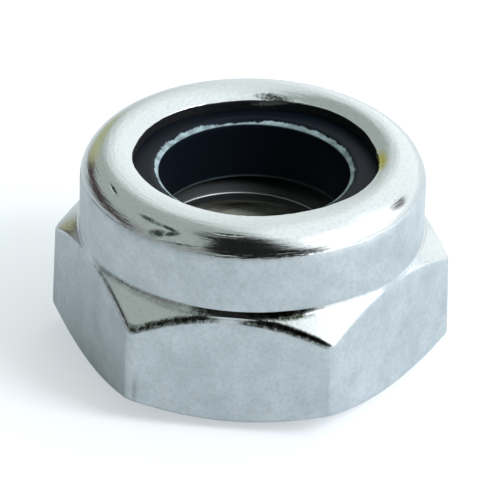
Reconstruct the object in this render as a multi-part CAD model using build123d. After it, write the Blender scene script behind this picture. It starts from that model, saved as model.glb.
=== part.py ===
from build123d import *
import os
from math import cos, radians, sqrt, tan

# M8 prevailing-torque nut with a captive nylon ring. Millimetres, +Z along the thread axis.
# The origin is on that axis, in the plane of the bearing face that clamps the joint.

# Thread
THREAD_MAJOR_D = 8.0
THREAD_PITCH = 1.25
COUNTERSINK_ANGLE = 100.0  # included angle at both ends of the thread
UNDER_COUNTERSINK_D = 8.4
FLOOR_COUNTERSINK_D = 8.2

# Hexagon
ACROSS_FLATS = 13.0  # at the bearing face, where the hexagon is widest
FLAT_DRAFT = 1.3  # degrees that each flat leans inwards as it rises
CORNER_ROUND = 0.5  # radius on the six upright edges
BEARING_FACE_D = 11.6
UNDER_CHAMFER_ANGLE = 30.0  # from the bearing face
TOP_CHAMFER_ANGLE = 40.0  # from the bearing face
HEX_HEIGHT = 4.88  # from the bearing face up to the foot of the collar
STOCK_MARGIN = 0.3  # how far the round stock stands outside the sharp corners

# Collar, rolled over the ring
TOTAL_HEIGHT = 8.0
COLLAR_D = 12.72
COLLAR_FOOT_INSET = 0.18  # how far the collar narrows at its foot
COLLAR_FOOT_RISE = 0.62  # height of the round that narrows it
COLLAR_WALL = 0.86
RIM_RADIUS = 1.1  # outer round of the rolled rim
LIP_OPENING_D = 8.9
LIP_DROP = 0.1  # how far the lip dips below the crest of the rim
LIP_THICKNESS = 0.52  # at its end
LIP_NOSE_RADIUS = 0.14
LIP_ROOT_BEVEL = 0.35  # inside, where the collar turns over the ring

# Nylon ring
INSERT_BORE_D = 7.05
INSERT_THICKNESS = 2.4
INSERT_CLEARANCE = 0.02
INSERT_CHAMFER_WIDTH = 0.22
INSERT_CHAMFER_DEPTH = 0.16

# Sizes that follow from those above
THREAD_MINOR_R = (THREAD_MAJOR_D - 5 / 8 * sqrt(3) * THREAD_PITCH) / 2
COLLAR_R = COLLAR_D / 2
RECESS_R = COLLAR_R - COLLAR_WALL
LIP_R = LIP_OPENING_D / 2
LIP_UNDERSIDE = TOTAL_HEIGHT - LIP_DROP - LIP_THICKNESS
INSERT_TOP = LIP_UNDERSIDE - INSERT_CLEARANCE
RECESS_FLOOR = INSERT_TOP - INSERT_THICKNESS  # the ring is seated here
STOCK_R = ACROSS_FLATS / 2 / cos(radians(30)) + STOCK_MARGIN


def countersink_depth(mouth_d):
    """Depth of a countersink that opens the thread's bore to a mouth diameter."""
    return (mouth_d / 2 - THREAD_MINOR_R) / tan(radians(COUNTERSINK_ANGLE / 2))


def hexagon_side():
    """Outside of the section, from the bearing face to the foot of the collar."""
    foot_r = COLLAR_R - COLLAR_FOOT_INSET
    bearing_r = BEARING_FACE_D / 2
    under_z = (STOCK_R - bearing_r) * tan(radians(UNDER_CHAMFER_ANGLE))
    shoulder_z = HEX_HEIGHT - (STOCK_R - foot_r) * tan(radians(TOP_CHAMFER_ANGLE))
    Polyline(
        (UNDER_COUNTERSINK_D / 2, 0),
        (bearing_r, 0),
        (STOCK_R, under_z),
        (STOCK_R, shoulder_z),
        (foot_r, HEX_HEIGHT),
    )


def rolled_rim():
    """Outside of the section, from the foot of the collar over the crest to the lip."""
    foot = (COLLAR_R - COLLAR_FOOT_INSET, HEX_HEIGHT)
    wall_start = (COLLAR_R, HEX_HEIGHT + COLLAR_FOOT_RISE)
    wall_end = (COLLAR_R, TOTAL_HEIGHT - RIM_RADIUS)
    crest = (COLLAR_R - RIM_RADIUS, TOTAL_HEIGHT)
    brow = (LIP_R + LIP_NOSE_RADIUS, TOTAL_HEIGHT - LIP_DROP)
    TangentArc(wall_start, foot, tangent=(0, -1))
    Line(wall_start, wall_end)
    TangentArc(wall_end, crest, tangent=(0, 1))
    TangentArc(crest, brow, tangent=(-1, 0))
    return brow


def lip_nose(brow):
    """Rounded end of the lip, from its brow down to its underside."""
    nose_top = (LIP_R, brow[1] - LIP_NOSE_RADIUS)
    nose_foot = (LIP_R, LIP_UNDERSIDE)
    TangentArc(nose_top, brow, tangent=(0, 1))
    Line(nose_top, nose_foot)
    return nose_foot


def recess_side(nose_foot):
    """Inside of the section, from the lip round the ring's recess to its floor."""
    Polyline(
        nose_foot,
        (RECESS_R - LIP_ROOT_BEVEL, LIP_UNDERSIDE),
        (RECESS_R, LIP_UNDERSIDE - LIP_ROOT_BEVEL),
        (RECESS_R, RECESS_FLOOR),
    )


def bore_side():
    """Inside of the section, from the recess floor down the bore to the bearing face."""
    Polyline(
        (RECESS_R, RECESS_FLOOR),
        (FLOOR_COUNTERSINK_D / 2, RECESS_FLOOR),
        (THREAD_MINOR_R, RECESS_FLOOR - countersink_depth(FLOOR_COUNTERSINK_D)),
        (THREAD_MINOR_R, countersink_depth(UNDER_COUNTERSINK_D)),
        (UNDER_COUNTERSINK_D / 2, 0),
    )


def turned_blank():
    """Round body with its chamfers, collar, lip, recess and bore, before the flats."""
    with BuildPart() as blank:
        with BuildSketch(Plane.XZ):
            with BuildLine():
                hexagon_side()
                recess_side(lip_nose(rolled_rim()))
                bore_side()
            make_face()
        revolve(axis=Axis.Z)
    return blank.part


def hexagon():
    """Drafted hexagonal prism with rounded upright edges, corners on +X and -X."""
    with BuildPart() as prism:
        with BuildSketch():
            RegularPolygon(ACROSS_FLATS / 2, 6, major_radius=False)
        extrude(amount=HEX_HEIGHT, taper=FLAT_DRAFT)
        rising = prism.edges().filter_by(lambda edge: abs(edge.tangent_at(0).Z) > 0.9)
        fillet(rising, CORNER_ROUND)
    return prism.part


def nut_body():
    """Steel nut: the blank with everything outside the hexagon cut away below the collar."""
    blank = turned_blank()
    stock = Cylinder(STOCK_R + STOCK_MARGIN, HEX_HEIGHT, align=(Align.CENTER, Align.CENTER, Align.MIN))
    return blank - (stock - hexagon())


def nylon_insert():
    """Ring that the lip holds in the collar, with a small chamfer at its bore's top edge."""
    bore_r = INSERT_BORE_D / 2
    outer_r = RECESS_R - INSERT_CLEARANCE
    with BuildPart() as ring:
        with BuildSketch(Plane.XZ):
            with BuildLine():
                Polyline(
                    (outer_r - LIP_ROOT_BEVEL, INSERT_TOP),
                    (bore_r + INSERT_CHAMFER_WIDTH, INSERT_TOP),
                    (bore_r, INSERT_TOP - INSERT_CHAMFER_DEPTH),
                    (bore_r, RECESS_FLOOR),
                    (outer_r, RECESS_FLOOR),
                    (outer_r, INSERT_TOP - LIP_ROOT_BEVEL),
                    close=True,
                )
            make_face()
        revolve(axis=Axis.Z)
    return ring.part


def main():
    os.makedirs("parts", exist_ok=True)
    for name, piece in {"nut_body": nut_body(), "nylon_insert": nylon_insert()}.items():
        piece.label = name
        export_step(piece, f"parts/{name}.step")


main()
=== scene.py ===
"""Nylon insert lock nut: steel body with its thread and rolled lip, nylon ring, and their finishes."""

import logging
import math
from dataclasses import dataclass, field
from enum import Enum, auto
from typing import Callable

import bmesh
import bpy
from mathutils import Matrix, Vector, noise


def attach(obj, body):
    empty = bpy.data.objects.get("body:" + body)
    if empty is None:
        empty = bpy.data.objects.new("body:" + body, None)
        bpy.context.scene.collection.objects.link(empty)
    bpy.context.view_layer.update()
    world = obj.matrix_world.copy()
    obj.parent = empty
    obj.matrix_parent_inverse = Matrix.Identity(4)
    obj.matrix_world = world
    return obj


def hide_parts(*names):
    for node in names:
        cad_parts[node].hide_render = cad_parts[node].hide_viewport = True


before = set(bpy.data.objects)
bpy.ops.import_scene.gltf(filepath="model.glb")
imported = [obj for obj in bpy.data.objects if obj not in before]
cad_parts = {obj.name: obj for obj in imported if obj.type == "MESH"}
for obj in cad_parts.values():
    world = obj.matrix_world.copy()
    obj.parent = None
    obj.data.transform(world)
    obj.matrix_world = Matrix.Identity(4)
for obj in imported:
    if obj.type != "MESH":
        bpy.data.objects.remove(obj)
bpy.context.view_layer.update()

LOG = logging.getLogger("lock_nut")
MM = 0.001
SIDES = 6
IMAGE_SIDE_PX = 500
CAMERA_TURN_DEG = 5.8086  # how far round the nut the camera stands from the front flat
SOFTENING_SAMPLES = 9
PLAIN_TORUS_R = 3.0  # a section is spun as a plain torus first, and then shaped
TINY = 1e-6
MASKS = ("turned", "inside", "worn_and_highlit", "painted_shade")  # layers of the steel that tell its finish where it is
FLANK_SAMPLES = ((0.25, -1), (0.5, 0), (0.25, 1))  # weight and side of each, to round a flank's ends

# Settings that many nodes share. A Mix of colours has them at inputs 6 and 7 and its result at output 2, and
# a Mix of values at 2, 3 and 0.
TIMES = {"operation": "MULTIPLY"}
PLUS = {"operation": "ADD"}
MINUS = {"operation": "SUBTRACT"}
LARGER = {"operation": "MAXIMUM"}
COLOURS = {"data_type": "RGBA"}

Point = tuple[float, float]
Colour = tuple[float, float, float]
Stretch = Callable[[float], Point]
Ring = bmesh.types.BMesh
Layer = bmesh.types.BMLayerItem
Tree = bpy.types.NodeTree
Socket = bpy.types.NodeSocket
Place = dict[str, Socket]


# ---------------------------------------------------------------- section helpers


def blend(low: float, high: float, share: float) -> float:
    """Value at a share of the way from low to high."""
    return low + (high - low) * share


def smooth_step(low: float, high: float, value: float) -> float:
    """Eased 0 to 1 as value goes from low to high."""
    share = min(1.0, max(0.0, (value - low) / (high - low)))
    return share * share * (3 - 2 * share)


def soft_max(first: float, second: float, blur: float) -> float:
    """Larger of two values, with the corner between them rounded over."""
    return (first + second + math.hypot(first - second, blur)) / 2


def along_line(start: Point, end: Point, share: float) -> Point:
    """Point of a straight stretch at a share of its length."""
    return blend(start[0], end[0], share), blend(start[1], end[1], share)


def along_arc(centre: Point, radius: float, start_deg: float, end_deg: float, share: float) -> Point:
    """Point of a round stretch at a share of its sweep.

    Args:
        centre: Centre of the arc in the section.
        radius: Its radius.
        start_deg: Angle where it starts, from the outward direction.
        end_deg: Angle where it ends.
        share: How far along it the point is, from 0 to 1.

    Returns:
        The point (radius from the axis, height).
    """
    angle = math.radians(blend(start_deg, end_deg, share))
    return centre[0] + radius * math.cos(angle), centre[1] + radius * math.sin(angle)


def along_round(before: Point, corner: Point, after: Point, share: float) -> Point:
    """Point of a corner rounded by a parabola.

    Args:
        before: Where the round starts, on one side of the corner.
        corner: The corner.
        after: Where the round ends, on its other side.
        share: How far along it the point is, from 0 to 1.

    Returns:
        The point.
    """
    first = along_line(before, corner, share)
    second = along_line(corner, after, share)
    return along_line(first, second, share)


def toward(corner: Point, direction_deg: float, distance: float) -> Point:
    """Point at a distance from a corner in a direction of the section."""
    angle = math.radians(direction_deg)
    return corner[0] + distance * math.cos(angle), corner[1] + distance * math.sin(angle)


def softened(corners: list[Point], place: float, window: float) -> Point:
    """Point of a bent line whose corners are rounded by averaging it over a window.

    Args:
        corners: Corners of the line, in order.
        place: Distance along it.
        window: Length that is averaged.

    Returns:
        The point.
    """
    total_r = total_z = 0.0
    half = SOFTENING_SAMPLES // 2
    for sample in range(-half, half + 1):
        left = place + window * sample / SOFTENING_SAMPLES
        for start, end in zip(corners, corners[1:]):
            length = math.dist(start, end)
            if left <= length or end is corners[-1]:
                point = along_line(start, end, left / length)
                break
            left -= length
        total_r, total_z = total_r + point[0], total_z + point[1]
    return total_r / SOFTENING_SAMPLES, total_z / SOFTENING_SAMPLES


@dataclass(frozen=True)
class Wave:
    """One wave round the lip: how far it moves the lip inwards, how often it comes round, and its phase."""

    reach: float
    lobes: int
    phase_deg: float

    def at(self, angle: float) -> float:
        """Its value in a direction, in radians."""
        return self.reach * math.cos(self.lobes * angle + math.radians(self.phase_deg))


@dataclass(frozen=True)
class Waver:
    """Random swells round the axis, without a seam: how far they reach, about how many there are in a turn,
    and the seed that picks them."""

    reach: float
    lobes: float
    seed: float

    def at(self, angle: float) -> float:
        """Its value in a direction.

        Args:
            angle: Direction from the axis, in radians.

        Returns:
            The value.
        """
        spread = self.lobes / math.tau
        place = (spread * math.cos(angle) + self.seed, spread * math.sin(angle) - self.seed, 2 * self.seed)
        return self.reach * noise.noise(Vector(place))


# ---------------------------------------------------------------- meshes


class Zone(Enum):
    """Stretch of the steel section that a row of the mesh belongs to, in order round the section."""

    UNDERSIDE = auto()
    BEARING_EDGE = auto()
    UNDER_CHAMFER = auto()
    UNDER_EDGE = auto()
    FLAT = auto()
    TOP_EDGE = auto()
    TOP_CHAMFER = auto()
    NECK = auto()
    WALL = auto()
    RIM = auto()
    BROW = auto()
    NOSE = auto()
    NOSE_FACE = auto()
    LIP_UNDERSIDE = auto()
    LIP_ROOT = auto()
    RECESS = auto()
    FLOOR = auto()
    THREAD = auto()


@dataclass(frozen=True)
class PaintedShade:
    """Stretch of a zone that painted shade darkens: the directions it lies between, and how dark it is."""

    zone: Zone
    start_deg: float
    end_deg: float
    strength: float
    blur_deg: float = 3.0
    run_in: float = 0.25  # share of the zone over which it fades out towards each end

    def amount(self, zone: Zone, share: float, angle_deg: float) -> float:
        """How dark it makes a place.

        Args:
            zone: Zone of the place.
            share: How far along the zone it is.
            angle_deg: Direction of the place from the axis.

        Returns:
            The amount, from 0 to 1.
        """
        if zone is not self.zone:
            return 0.0
        begun = smooth_step(self.start_deg - self.blur_deg, self.start_deg + self.blur_deg, angle_deg)
        ended = smooth_step(self.end_deg + self.blur_deg, self.end_deg - self.blur_deg, angle_deg)
        middle = smooth_step(0.0, self.run_in, share) * smooth_step(1.0, 1.0 - self.run_in, share)
        return self.strength * begun * ended * middle


def spin_section(rows: int, steps: int, masks: tuple[str, ...] = ()) -> tuple[Ring, Layer]:
    """Closed ring of quads with one row for each point of a section.

    Args:
        rows: Number of rows round the section.
        steps: Number of steps round the axis.
        masks: Names of layers, 0 everywhere at first, that tell the finish where it is.

    Returns:
        The mesh, whose rows still lie on a plain torus, and the layer that holds each vertex's row.
    """
    ring = bmesh.new()
    for mask in masks:
        ring.verts.layers.float.new(mask)
    layer = ring.verts.layers.int.new("row")
    circle = bmesh.ops.create_circle(ring, segments=rows, radius=1.0)["verts"]
    for index, vertex in enumerate(circle):
        vertex[layer] = index
    turn_up = Matrix.Translation((PLAIN_TORUS_R, 0.0, 0.0)) @ Matrix.Rotation(math.radians(90), 4, "X")
    bmesh.ops.transform(ring, matrix=turn_up, verts=circle)
    bmesh.ops.spin(
        ring,
        geom=ring.verts[:] + ring.edges[:],
        cent=(0, 0, 0),
        axis=(0, 0, 1),
        dvec=(0, 0, 0),
        angle=math.tau,
        steps=steps,
        use_merge=True,
        use_normal_flip=False,
        use_duplicate=False,
    )
    return ring, layer


def shape_ring(
    ring: Ring, layer: Layer, angles: list[float], column_at: Callable[[float], list[Point]]
) -> None:
    """Moves the vertices of a spun ring to their places.

    Args:
        ring: The mesh.
        layer: Holds each vertex's row.
        angles: Direction of each step round the axis, in radians.
        column_at: Gives the section in a direction, one point for each row.
    """
    columns = [column_at(angle) for angle in angles]
    for vertex in ring.verts:
        step = round(math.atan2(vertex.co.y, vertex.co.x) / math.tau * len(angles)) % len(angles)
        radius, height = columns[step][vertex[layer]]
        vertex.co = Vector((radius * math.cos(angles[step]), radius * math.sin(angles[step]), height))


def finish_mesh(ring: Ring, name: str, sharp_deg: float) -> bpy.types.Object:
    """Turns a bmesh in millimetres into an object in metres.

    Args:
        ring: The mesh, which is freed.
        name: Name of the object and its mesh.
        sharp_deg: Edges that turn by more than this stay crisp.

    Returns:
        The object, linked to the scene, at the origin.
    """
    bmesh.ops.recalc_face_normals(ring, faces=ring.faces)
    bmesh.ops.scale(ring, vec=(MM, MM, MM), verts=ring.verts)
    for face in ring.faces:
        face.smooth = True
    for edge in ring.edges:
        edge.smooth = edge.calc_face_angle(0.0) < math.radians(sharp_deg)
    mesh = bpy.data.meshes.new(name)
    ring.to_mesh(mesh)
    ring.free()
    piece = bpy.data.objects.new(name, mesh)
    bpy.context.scene.collection.objects.link(piece)
    return piece


@dataclass
class SteelBody:
    """Cold-formed steel nut: hexagon, collar with its rim rolled over the ring, and the threaded bore."""

    across_flats: float = 13.0
    flat_draft_deg: float = 1.3
    corner_round: float = 0.5
    bearing_face_d: float = 11.6
    under_chamfer_deg: float = 30.0
    top_chamfer_deg: float = 40.0
    neck_r: float = 6.18
    neck_height: float = 4.88
    chamfer_lift: float = 0.22
    edge_round: float = 0.15
    edge_window: float = 0.26
    front_edge_window: float = 0.48
    collar_foot: float = 5.0
    neck_inset: float = 0.08
    front_neck_inset: float = 0.03
    undercut: float = 0.15
    least_undercut: float = 0.001
    neck_window: float = 0.08
    faint_neck_window: float = 0.36
    foot_window: float = 0.03

    total_height: float = 8.0
    collar_d: float = 12.72
    collar_wall: float = 0.86
    rim_radius: float = 1.1
    lip_opening_d: float = 8.9
    lip_drop: float = 0.1
    lip_thickness: float = 0.52
    nose_radius: float = 0.04
    far_from_deg: float = 5.8
    far_lip_drop: float = 0.1
    far_ease: float = 0.3
    lip_spread: float = 0.1
    lip_root_bevel: float = 0.35
    insert_thickness: float = 2.4
    insert_clearance: float = 0.02

    thread_d: float = 8.0
    thread_pitch: float = 1.25
    thread_phase_deg: float = 97.2
    thread_phase_height: float = 4.145
    half_crest: float = 1 / 8  # flat of the crest and of the root, in pitches from their middle
    half_root: float = 1 / 16
    flank_blur: float = 0.1
    rows_a_pitch: int = 32
    spare_rows: float = 1.2  # left out of the thread's rows at the ends of the bore
    crest_blur: float = 0.03
    countersink_deg: float = 100.0
    floor_mouth_d: float = 7.4
    under_mouth_d: float = 8.4

    settling_steps: int = 4  # to find where a chamfer meets the drafted flats
    bend_run: float = 1.0  # length of flat and of wall that the bend between them takes in
    sharp_deg: float = 50.0

    # Sines of the direction towards the front flat between which each of its features sets in
    inset_front: Point = (0.86, 0.96)
    undercut_front: Point = (0.5, 0.75)
    lift_front: Point = (0.0, 0.8)
    edge_front: Point = (0.6, 0.9)
    gloss_front: Point = (0.8, 0.93)

    lip_inset: float = 0.055
    lip_waves: tuple[Wave, ...] = (
        Wave(0.110, 1, 175),
        Wave(0.087, 2, 146),
        Wave(0.037, 3, 39),
        Wave(0.030, 4, -78),
        Wave(0.030, 5, -102),
    )
    lip_wavers: tuple[Waver, ...] = (Waver(0.018, 30, 3.1), Waver(0.0108, 80, 8.4))
    burrs: Waver = Waver(1.0, 110, 5.7)
    burr_from: float = 0.4
    burr_height: float = 0.07
    corner_steps: int = 18
    flat_steps: int = 48
    corner_reach_deg: float = 2.4
    rows_by_zone: dict[Zone, int] = field(
        default_factory=lambda: {
            Zone.UNDERSIDE: 2,
            Zone.BEARING_EDGE: 3,
            Zone.UNDER_CHAMFER: 3,
            Zone.UNDER_EDGE: 5,
            Zone.FLAT: 4,
            Zone.TOP_EDGE: 7,
            Zone.TOP_CHAMFER: 4,
            Zone.NECK: 16,
            Zone.WALL: 3,
            Zone.RIM: 18,
            Zone.BROW: 6,
            Zone.NOSE: 5,
            Zone.NOSE_FACE: 1,
            Zone.LIP_UNDERSIDE: 1,
            Zone.LIP_ROOT: 1,
            Zone.RECESS: 1,
            Zone.FLOOR: 2,
        }
    )
    snug_zones: tuple[Zone, ...] = (Zone.UNDER_CHAMFER, Zone.FLAT, Zone.TOP_CHAMFER, Zone.WALL)
    snug_share: float = 0.04
    turned_zones: tuple[Zone, ...] = (Zone.UNDER_CHAMFER, Zone.TOP_EDGE, Zone.TOP_CHAMFER, Zone.NECK)
    turned_edge: Point = (0.15, 0.5)  # shares of the top edge between which the turned gloss sets in
    shrinking_zones: tuple[Zone, ...] = (Zone.TOP_EDGE, Zone.TOP_CHAMFER, Zone.NECK)
    shrinking_chamfer: Point = (0.25, 0.75)  # lengths of the chamfer between which it gets its gloss
    # Painted shade along the top edge, the top chamfer and the neck groove round the collar's foot.
    painted_shades: tuple[PaintedShade, ...] = (
        PaintedShade(Zone.TOP_EDGE, -122, -95, 0.85),
        PaintedShade(Zone.TOP_EDGE, -147, -119, 0.45),
        PaintedShade(Zone.TOP_EDGE, -87, -62, 0.9),
        PaintedShade(Zone.TOP_CHAMFER, -103, -95, 0.8),
        PaintedShade(Zone.NECK, -104, -95, 0.8),
        PaintedShade(Zone.NECK, -147, -102, 0.32, 5),
        PaintedShade(Zone.NECK, -85, -64, 1.0, 5),
    )
    inside_zones: tuple[Zone, ...] = (
        Zone.NOSE_FACE,
        Zone.LIP_UNDERSIDE,
        Zone.LIP_ROOT,
        Zone.RECESS,
        Zone.FLOOR,
        Zone.THREAD,
    )

    @property
    def minor_r(self) -> float:
        """Radius of the thread's crests."""
        return (self.thread_d - 5 / 8 * math.sqrt(3) * self.thread_pitch) / 2

    def frontness(self, angle: float, limits: Point) -> float:
        """How much a direction faces the front flat, eased between two sines of that direction."""
        return smooth_step(*limits, -math.sin(angle))

    def neck(self, angle: float) -> Point:
        """Where the top chamfer meets the collar, which is undercut on the side of the front flat alone.

        Args:
            angle: Direction from the axis, in radians.

        Returns:
            The point (radius from the axis, height).
        """
        inset = blend(self.neck_inset, self.front_neck_inset, self.frontness(angle, self.inset_front))
        radius = self.collar_d / 2 - inset * self.frontness(angle, self.undercut_front)
        slope = math.tan(math.radians(self.top_chamfer_deg))
        lift = self.chamfer_lift * (1 - self.frontness(angle, self.lift_front))
        return radius, self.neck_height + lift - (radius - self.neck_r) * slope

    @property
    def recess_r(self) -> float:
        """Radius of the recess that holds the ring."""
        return self.collar_d / 2 - self.collar_wall

    @property
    def lip_underside(self) -> float:
        """Height of the lip's underside."""
        return self.total_height - self.lip_drop - self.lip_thickness

    @property
    def floor_height(self) -> float:
        """Height of the recess floor."""
        return self.lip_underside - self.insert_clearance - self.insert_thickness

    @property
    def row_rise(self) -> float:
        """Height between two rows of the thread."""
        return self.thread_pitch / self.rows_a_pitch

    @property
    def thread_rows(self) -> int:
        """Rows of the thread, which leave a little more than a row free at the ends of the bore."""
        return int(self.floor_height / self.row_rise - self.spare_rows)

    def hexagon_radius(self, angle: float, height: float) -> float:
        """Distance from the axis to the drafted, corner-rounded hexagon.

        Args:
            angle: Direction from the axis, in radians.
            height: Height above the bearing face.

        Returns:
            The distance in millimetres.
        """
        half = self.across_flats / 2 - height * math.tan(math.radians(self.flat_draft_deg))
        sector = math.tau / SIDES
        off_corner = abs((angle + sector / 2) % sector - sector / 2)
        centre = (half - self.corner_round) / math.cos(sector / 2)
        tangent_x = centre + self.corner_round * math.cos(sector / 2)
        tangent_y = self.corner_round * math.sin(sector / 2)
        if off_corner >= math.atan2(tangent_y, tangent_x):
            return half / math.cos(sector / 2 - off_corner)
        across = centre * math.sin(off_corner)
        return centre * math.cos(off_corner) + math.sqrt(self.corner_round**2 - across**2)

    def chamfer_corner(self, angle: float, foot: Point, slope_deg: float) -> Point:
        """Where a chamfer meets the hexagon in a direction.

        Args:
            angle: Direction from the axis, in radians.
            foot: Where the chamfer starts, nearer the axis.
            slope_deg: How steeply it rises outwards.

        Returns:
            The corner.
        """
        slope = math.tan(math.radians(slope_deg))
        height = foot[1]
        for _ in range(self.settling_steps):
            height = foot[1] + (self.hexagon_radius(angle, height) - foot[0]) * slope
        return self.hexagon_radius(angle, height), height

    def under_corner(self, angle: float) -> Point:
        """Where the underside chamfer meets the hexagon in a direction."""
        return self.chamfer_corner(angle, (self.bearing_face_d / 2, 0.0), self.under_chamfer_deg)

    def top_corner(self, angle: float) -> Point:
        """Where the top chamfer meets the hexagon in a direction."""
        return self.chamfer_corner(angle, self.neck(angle), -self.top_chamfer_deg)

    def hexagon_side(self, angle: float) -> dict[Zone, Stretch]:
        """Draws the section from the bearing face to the foot of the collar.

        Args:
            angle: Direction from the axis, in radians.

        Returns:
            Its stretches, each of which gives the point at a share of its length.
        """
        under, top = self.under_corner(angle), self.top_corner(angle)
        edge, under_up = self.edge_round, self.under_chamfer_deg
        wall_up = 90 + self.flat_draft_deg
        bearing = (self.bearing_face_d / 2, 0.0)
        mouth = (self.under_mouth_d / 2, 0.0)
        bearing_in, bearing_out = toward(bearing, 180, edge), toward(bearing, under_up, edge)
        under_in, under_out = toward(under, under_up + 180, edge), toward(under, wall_up, edge)
        neck = self.neck(angle)
        edge_front = self.frontness(angle, self.edge_front)
        edge_window = blend(self.edge_window, self.front_edge_window, edge_front)
        cut = self.frontness(angle, self.undercut_front)
        neck_window = blend(self.faint_neck_window, self.neck_window, cut)
        foot = (self.collar_d / 2, self.collar_foot)
        undercut = (foot[0] - self.undercut * cut - self.least_undercut, self.collar_foot)
        flat_start, wall_end = toward(top, wall_up + 180, self.bend_run), toward(foot, 90, self.bend_run)
        bend = [flat_start, top, neck, undercut, foot, wall_end]
        chamfer = math.dist(top, neck)
        to_foot = chamfer + math.dist(neck, undercut) + math.dist(undercut, foot)
        spare = min(chamfer, edge_window) / 2

        def bent(start: float, end: float) -> Stretch:
            """Stretch of the rounded bend between the flat and the collar.

            Args:
                start: Distance from the top corner where it starts.
                end: Distance where it ends.

            Returns:
                The stretch.
            """

            def stretch(share: float) -> Point:
                """Point at a share of the stretch.

                Args:
                    share: How far along it the point is, from 0 to 1.

                Returns:
                    The point.
                """
                place = blend(start, end, share)
                window = blend(edge_window, neck_window, smooth_step(0, chamfer + TINY, place))
                window = blend(window, self.foot_window, smooth_step(chamfer, to_foot, place))
                return softened(bend, self.bend_run + place, window)

            return stretch

        top_in = bent(-edge_window / 2, 0)(0)
        return {
            Zone.UNDERSIDE: lambda share: along_line(mouth, bearing_in, share),
            Zone.BEARING_EDGE: lambda share: along_round(bearing_in, bearing, bearing_out, share),
            Zone.UNDER_CHAMFER: lambda share: along_line(bearing_out, under_in, share),
            Zone.UNDER_EDGE: lambda share: along_round(under_in, under, under_out, share),
            Zone.FLAT: lambda share: along_line(under_out, top_in, share),
            Zone.TOP_EDGE: bent(-edge_window / 2, spare),
            Zone.TOP_CHAMFER: bent(spare, chamfer - spare),
            Zone.NECK: bent(chamfer - spare, to_foot + self.foot_window),
        }

    def collar_side(self, angle: float) -> dict[Zone, Stretch]:
        """Draws the section from the collar's foot over the rim to the recess floor.

        Args:
            angle: Direction from the axis, in radians.

        Returns:
            Its stretches, each of which gives the point at a share of its length.
        """
        collar_r = self.collar_d / 2
        wall_start = (collar_r, self.collar_foot + self.foot_window)
        rim_centre = (collar_r - self.rim_radius, self.total_height - self.rim_radius)
        from_far = math.sin(angle - math.radians(self.far_from_deg))
        behind = smooth_step(-self.far_ease, self.far_ease, from_far)
        lip_r = self.lip_opening_d / 2 + (1 - behind) * self.lip_spread - self.lip_shift(angle)
        drop = self.lip_drop + behind * self.far_lip_drop
        brow = (lip_r + self.nose_radius, self.total_height - drop)
        brow_run = rim_centre[0] - brow[0]
        brow_radius = (brow_run**2 + drop**2) / (2 * drop)
        brow_centre = (rim_centre[0], self.total_height - brow_radius)
        brow_end = 90 + math.degrees(math.asin(brow_run / brow_radius))
        nose_top = (lip_r, brow[1] - self.nose_radius)
        nose_tip = (lip_r, brow[1])
        nose_foot = (lip_r, self.lip_underside)
        root_in = (self.recess_r - self.lip_root_bevel, self.lip_underside)
        root_out = (self.recess_r, self.lip_underside - self.lip_root_bevel)
        recess_foot = (self.recess_r, self.floor_height)
        floor_edge = (self.thread_radius(angle, self.floor_height), self.floor_height)
        return {
            Zone.WALL: lambda share: along_line(wall_start, (collar_r, rim_centre[1]), share),
            Zone.RIM: lambda share: along_arc(rim_centre, self.rim_radius, 0, 90, share),
            Zone.BROW: lambda share: along_arc(brow_centre, brow_radius, 90, brow_end, share),
            Zone.NOSE: lambda share: along_round(brow, nose_tip, nose_top, share),
            Zone.NOSE_FACE: lambda share: along_line(nose_top, nose_foot, share),
            Zone.LIP_UNDERSIDE: lambda share: along_line(nose_foot, root_in, share),
            Zone.LIP_ROOT: lambda share: along_line(root_in, root_out, share),
            Zone.RECESS: lambda share: along_line(root_out, recess_foot, share),
            Zone.FLOOR: lambda share: along_line(recess_foot, floor_edge, share),
        }

    def lip_shift(self, angle: float) -> float:
        """How far the crimped lip strays inwards from its nominal circle, with its small burrs.

        Args:
            angle: Direction from the axis, in radians.

        Returns:
            The distance in millimetres.
        """
        shift = sum(part.at(angle) for part in (*self.lip_waves, *self.lip_wavers))
        burr = max(0.0, self.burrs.at(angle) - self.burr_from) / (1 - self.burr_from)
        return self.lip_inset + shift + self.burr_height * burr

    def thread_lead(self, angle: float) -> float:
        """Height of the middle of a crest in a direction, in radians."""
        turn = (angle - math.radians(self.thread_phase_deg)) / math.tau
        return self.thread_phase_height + self.thread_pitch * turn

    def thread_radius(self, angle: float, height: float) -> float:
        """Wall radius of the bore with its right-hand thread and the countersinks at both ends.

        Args:
            angle: Direction from the axis, in radians.
            height: Height above the bearing face.

        Returns:
            The radius in millimetres.
        """
        turns = (height - self.thread_lead(angle)) / self.thread_pitch
        off_crest = abs((turns + 0.5) % 1.0 - 0.5)
        up_flank = (off_crest - self.half_crest) / (0.5 - self.half_crest - self.half_root)
        depth = sum(
            part * min(1.0, max(0.0, up_flank + side * self.flank_blur)) for part, side in FLANK_SAMPLES
        )
        slope = math.tan(math.radians(self.countersink_deg / 2))
        floor_r = self.floor_mouth_d / 2 - (self.floor_height - height) * slope
        under_r = self.under_mouth_d / 2 - height * slope
        thread_r = blend(self.minor_r, self.thread_d / 2, depth)
        return soft_max(thread_r, max(floor_r, under_r), self.crest_blur)

    def thread_side(self, angle: float) -> list[Point]:
        """Section of the bore in a direction, from the recess floor down.

        The rows climb with the thread and drop by one row's height each time they have climbed it, so that
        the thread's edges stay on rows.

        Args:
            angle: Direction from the axis, in radians.

        Returns:
            Its points, one for each row.
        """
        climb = self.thread_lead(angle) % self.row_rise
        heights = [(self.thread_rows - row) * self.row_rise + climb for row in range(self.thread_rows)]
        return [(self.thread_radius(angle, height), height) for height in heights]

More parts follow.
